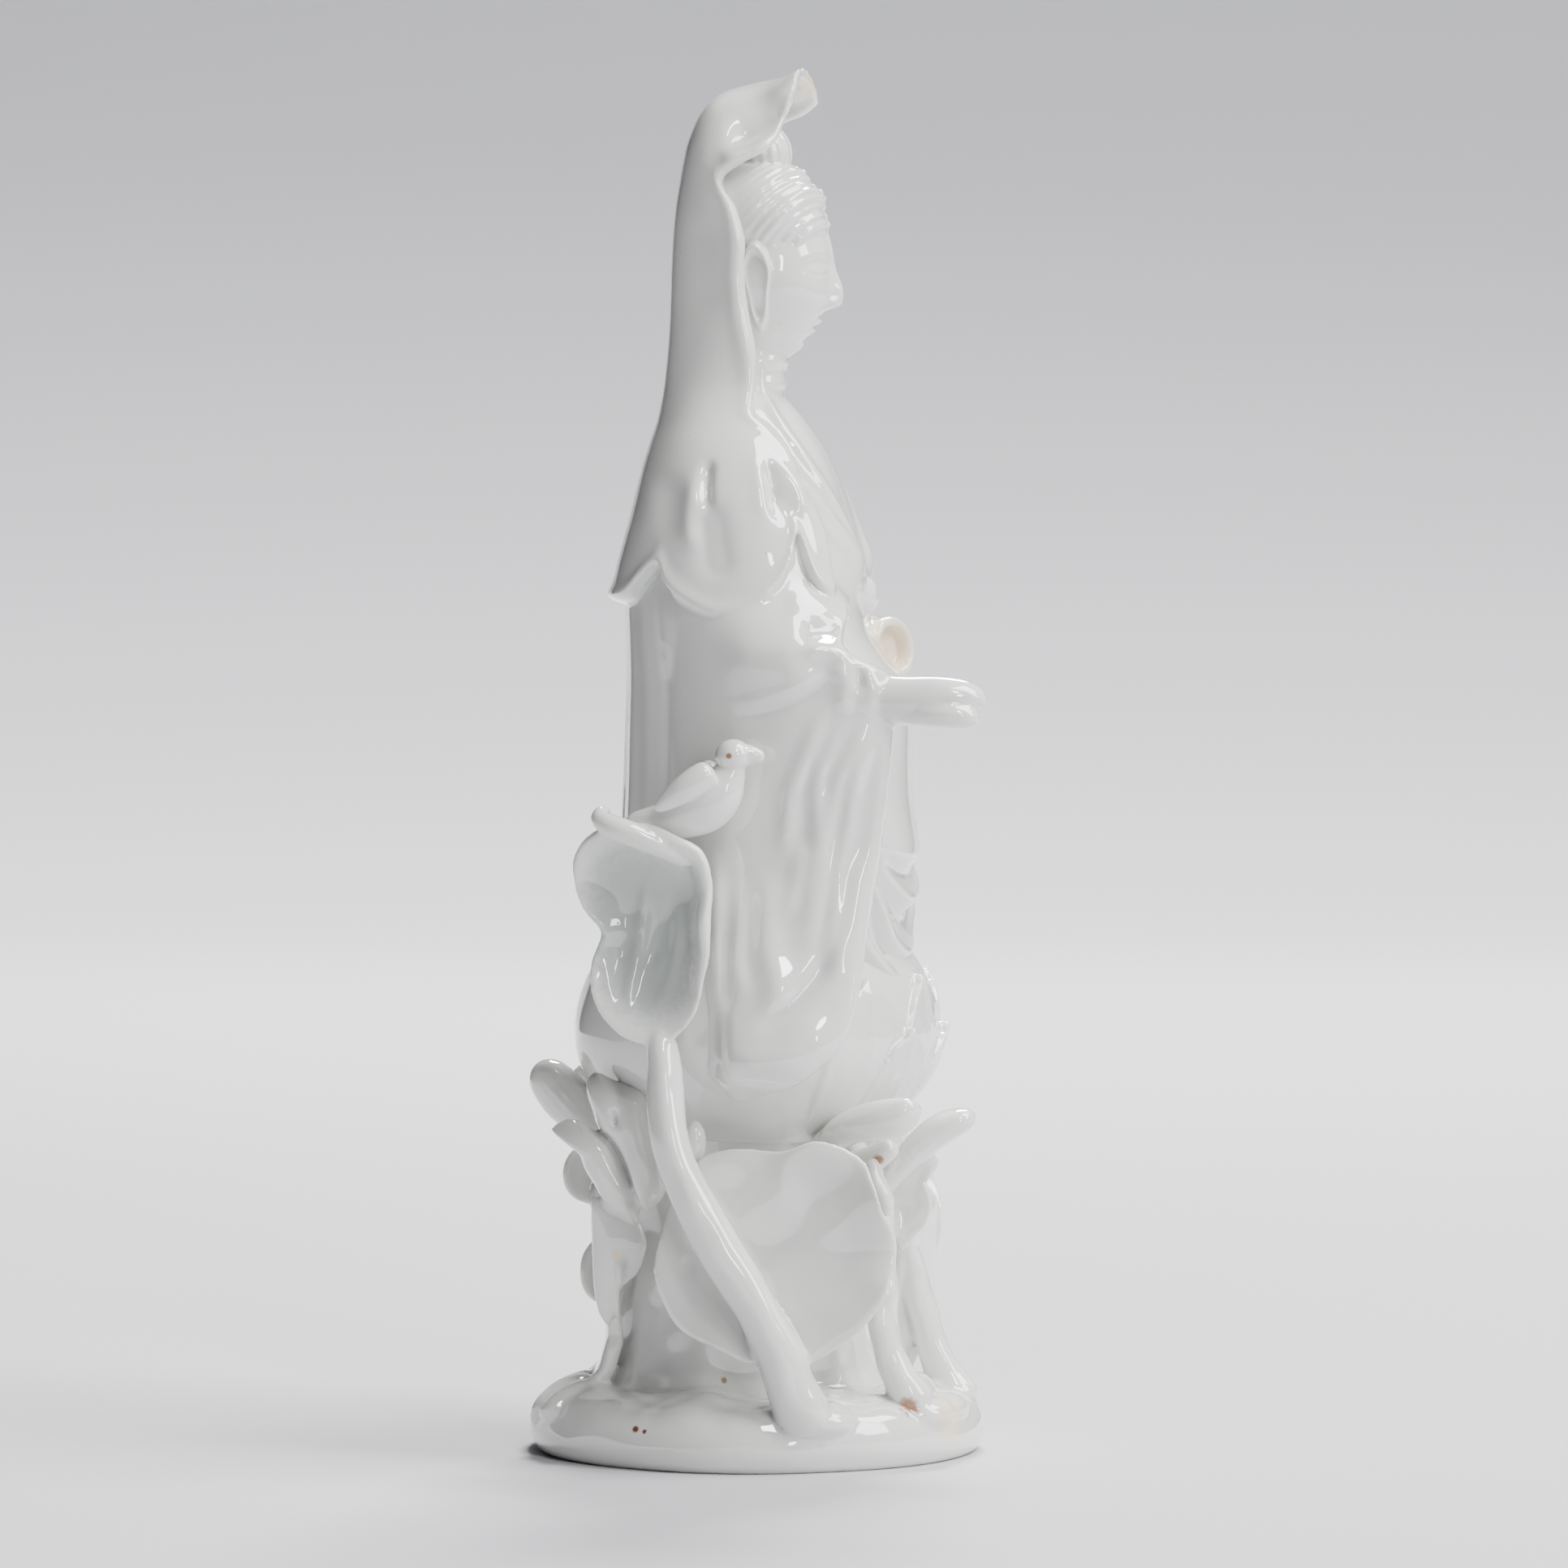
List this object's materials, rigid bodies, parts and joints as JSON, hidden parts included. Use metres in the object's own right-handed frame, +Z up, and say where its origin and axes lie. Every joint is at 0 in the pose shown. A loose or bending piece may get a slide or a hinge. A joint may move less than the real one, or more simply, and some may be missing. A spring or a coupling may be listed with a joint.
{
  "type": "guanyin figure",
  "caption": "Standing hooded porcelain figure on a lotus bulb and rock column, with lotus leaves, buds and a perched bird, resting on a round domed base.",
  "frame": {"origin": "centre of the flat underside of the base", "axes": "+Z up along the figure, the figure faces -Y and its left side is +X"},
  "size_m": [0.0869, 0.0909, 0.26],
  "materials": {
    "porcelain": "glossy clear glaze over white porcelain"
  },
  "bodies": {
    "root": {"guanyin_figure": "porcelain"}
  },
  "joints": []
}
